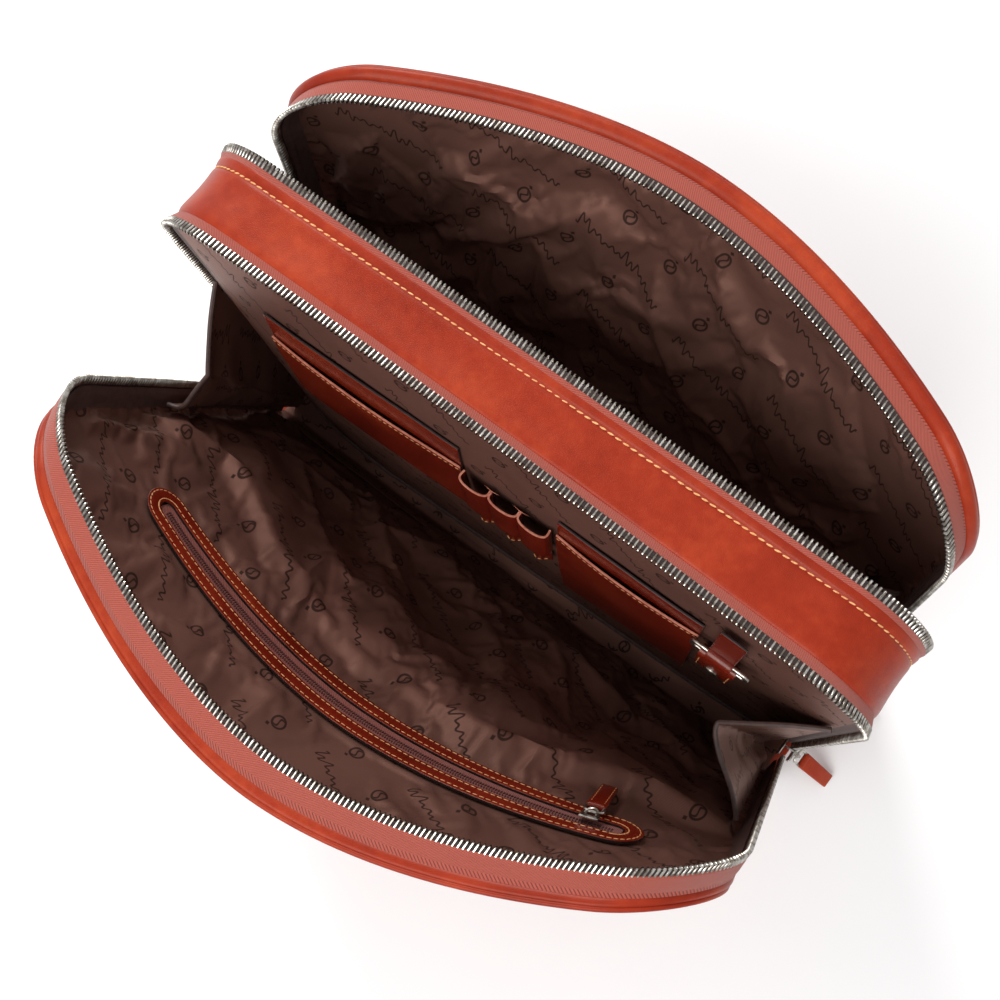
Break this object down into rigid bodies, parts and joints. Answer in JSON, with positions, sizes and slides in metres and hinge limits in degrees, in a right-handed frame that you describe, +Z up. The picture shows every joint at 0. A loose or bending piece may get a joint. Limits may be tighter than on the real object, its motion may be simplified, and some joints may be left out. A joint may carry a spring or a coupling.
{
  "type": "leather briefcase",
  "caption": "Soft leather briefcase standing open on its base: two zipped outer compartments hinged to a middle section, with organiser, inner zip pocket and handles.",
  "frame": {"origin": "centre of the base, on the floor", "axes": "+X along the length, to the end with the zip sliders; +Y to the rear compartment; +Z up"},
  "size_m": [0.431, 0.3382, 0.2977],
  "materials": {
    "cognac_leather": "satin",
    "glossy_leather": "gloss",
    "satin_lining": "satin",
    "zip_tape": "matte",
    "nickel": "polished",
    "board": "matte"
  },
  "bodies": {
    "middle": {"base_panel": "cognac_leather", "base_board": "board", "middle_band": "cognac_leather", "middle_front_zip_teeth": "nickel", "middle_front_zip_tape": "zip_tape", "middle_rear_zip_teeth": "nickel", "middle_rear_zip_tape": "zip_tape", "middle_lining": "satin_lining", "divider_front_lining": "satin_lining", "divider_board": "board", "divider_rear_lining": "satin_lining", "floor_lining": "satin_lining", "card_pocket_back": "glossy_leather", "card_pocket_front": "glossy_leather", "phone_pocket_back": "glossy_leather", "phone_pocket_front": "glossy_leather", "pen_loop_strip": "glossy_leather", "pen_foot_1": "glossy_leather", "pen_foot_2": "glossy_leather", "pen_foot_3": "glossy_leather", "key_strap_loop": "glossy_leather"},
    "front_cover": {"front_cover_panel": "cognac_leather", "front_cover_band": "cognac_leather", "front_cover_piping": "cognac_leather", "front_zip_teeth": "nickel", "front_zip_tape": "zip_tape", "front_cover_facing": "satin_lining", "front_cover_lining": "satin_lining", "front_handle_chape_left": "cognac_leather", "front_handle_chape_right": "cognac_leather", "front_gusset_left": "satin_lining", "front_gusset_right": "satin_lining", "pocket_frame": "glossy_leather", "pocket_zip": "zip_tape", "pocket_bag": "satin_lining"},
    "rear_cover": {"rear_cover_panel": "cognac_leather", "rear_cover_band": "cognac_leather", "rear_cover_piping": "cognac_leather", "rear_zip_teeth": "nickel", "rear_zip_tape": "zip_tape", "rear_cover_facing": "satin_lining", "rear_cover_lining": "satin_lining", "rear_handle_chape_left": "cognac_leather", "rear_handle_chape_right": "cognac_leather", "rear_gusset_left": "satin_lining", "rear_gusset_right": "satin_lining"},
    "front_handle": {"front_handle": "cognac_leather", "front_handle_ring_left": "nickel", "front_handle_ring_right": "nickel"},
    "rear_handle": {"rear_handle": "cognac_leather", "rear_handle_ring_left": "nickel", "rear_handle_ring_right": "nickel"},
    "front_zip_slider": {"front_zip_slider": "nickel"},
    "rear_zip_slider": {"rear_zip_slider": "nickel"},
    "front_zip_pull": {"front_zip_pull": "cognac_leather"},
    "rear_zip_pull": {"rear_zip_pull": "cognac_leather"},
    "pocket_slider": {"pocket_slider": "nickel"},
    "pocket_pull": {"pocket_pull": "glossy_leather"},
    "key_ring": {"key_ring": "nickel"},
    "key_tab": {"key_tab": "glossy_leather"}
  },
  "joints": [
    {"name": "front_cover_hinge", "type": "hinge", "parent": "middle", "child": "front_cover", "pos_m": [0, -0.0486, 0.004], "axis": [1, 0, 0], "range_deg": [-14, 0], "deforming": ["front_gusset_left", "front_gusset_right"]},
    {"name": "rear_cover_hinge", "type": "hinge", "parent": "middle", "child": "rear_cover", "pos_m": [0, 0.0486, 0.004], "axis": [-1, 0, 0], "range_deg": [-3.7, 0], "deforming": ["rear_gusset_left", "rear_gusset_right"]},
    {"name": "front_handle_swing", "type": "hinge", "parent": "front_cover", "child": "front_handle", "pos_m": [0, -0.13715, 0.17465], "axis": [-0.9998, -0.0205, -0.0051], "range_deg": [-10, 120]},
    {"name": "rear_handle_swing", "type": "hinge", "parent": "rear_cover", "child": "rear_handle", "pos_m": [0, 0.09751, 0.18823], "axis": [0.9999, 0.0127, -0.0008], "range_deg": [-6, 120]},
    {"name": "front_zip_travel", "type": "slide", "parent": "middle", "child": "front_zip_slider", "axis": [0, 0, 1], "range_m": [0, 0.2]},
    {"name": "rear_zip_travel", "type": "slide", "parent": "middle", "child": "rear_zip_slider", "axis": [0, 0, 1], "range_m": [0, 0.2]},
    {"name": "front_pull_swing", "type": "hinge", "parent": "front_zip_slider", "child": "front_zip_pull", "pos_m": [0.2038, -0.0256, 0.023], "axis": [0, -1, 0], "range_deg": [0, 120]},
    {"name": "rear_pull_swing", "type": "hinge", "parent": "rear_zip_slider", "child": "rear_zip_pull", "pos_m": [0.2038, 0.0256, 0.023], "axis": [0, -1, 0], "range_deg": [0, 120]},
    {"name": "pocket_zip_travel", "type": "hinge", "parent": "front_cover", "child": "pocket_slider", "pos_m": [-0.00784, 0.14646, 0.39663], "axis": [0, 0.5571, -0.8304], "range_deg": [0, 40.2]},
    {"name": "pocket_pull_swing", "type": "hinge", "parent": "pocket_slider", "child": "pocket_pull", "pos_m": [0.12597, -0.11911, 0.21728], "axis": [0.9285, 0.3602, 0.0898], "range_deg": [0, 140]},
    {"name": "key_ring_swing", "type": "hinge", "parent": "middle", "child": "key_ring", "pos_m": [0.132, -0.03065, 0.228], "axis": [-1, 0, 0], "range_deg": [0, 100]},
    {"name": "key_tab_swing", "type": "hinge", "parent": "key_ring", "child": "key_tab", "pos_m": [0.132, -0.03065, 0.217], "axis": [-1, 0, 0], "range_deg": [0, 80]}
  ]
}
